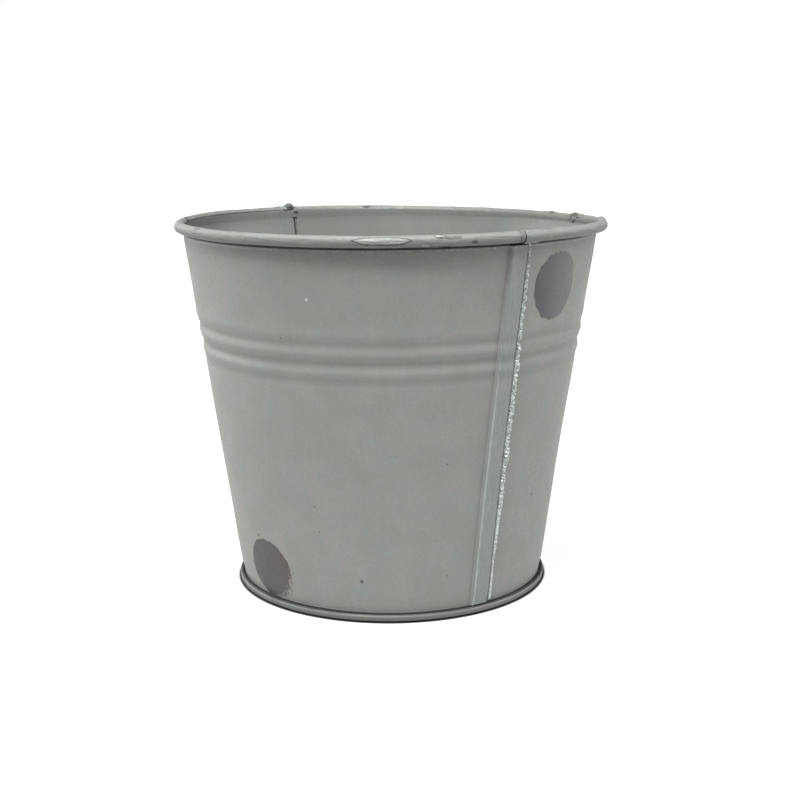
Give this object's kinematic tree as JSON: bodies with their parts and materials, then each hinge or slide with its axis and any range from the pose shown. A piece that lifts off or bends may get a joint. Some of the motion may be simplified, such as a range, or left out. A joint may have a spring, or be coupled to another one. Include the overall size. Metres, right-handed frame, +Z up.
{
  "type": "florist bucket",
  "caption": "Round tapered galvanised steel bucket with a wired rolled rim, two swaged bead grooves, lock-seamed sides and a double-seamed base, for cut flowers or as a pot cover.",
  "frame": {"origin": "on the floor, at the middle of the foot", "axes": "+Z up along the bucket's axis, out of its open mouth; -Y is the front, and the front side seam lies 35 degrees from it towards +X, with the other seam opposite"},
  "size_m": [0.2, 0.2, 0.1725],
  "materials": {
    "galvanised_sheet": "matte",
    "seam_solder": "satin",
    "steel_wire": "satin",
    "sealing_compound": "matte"
  },
  "bodies": {
    "root": {"wall_panel_front": "galvanised_sheet", "wall_panel_back": "galvanised_sheet", "base_plate": "galvanised_sheet", "front_seam_solder": "seam_solder", "back_seam_solder": "seam_solder", "rim_wire": "steel_wire", "base_seal_ring": "sealing_compound"}
  },
  "joints": []
}
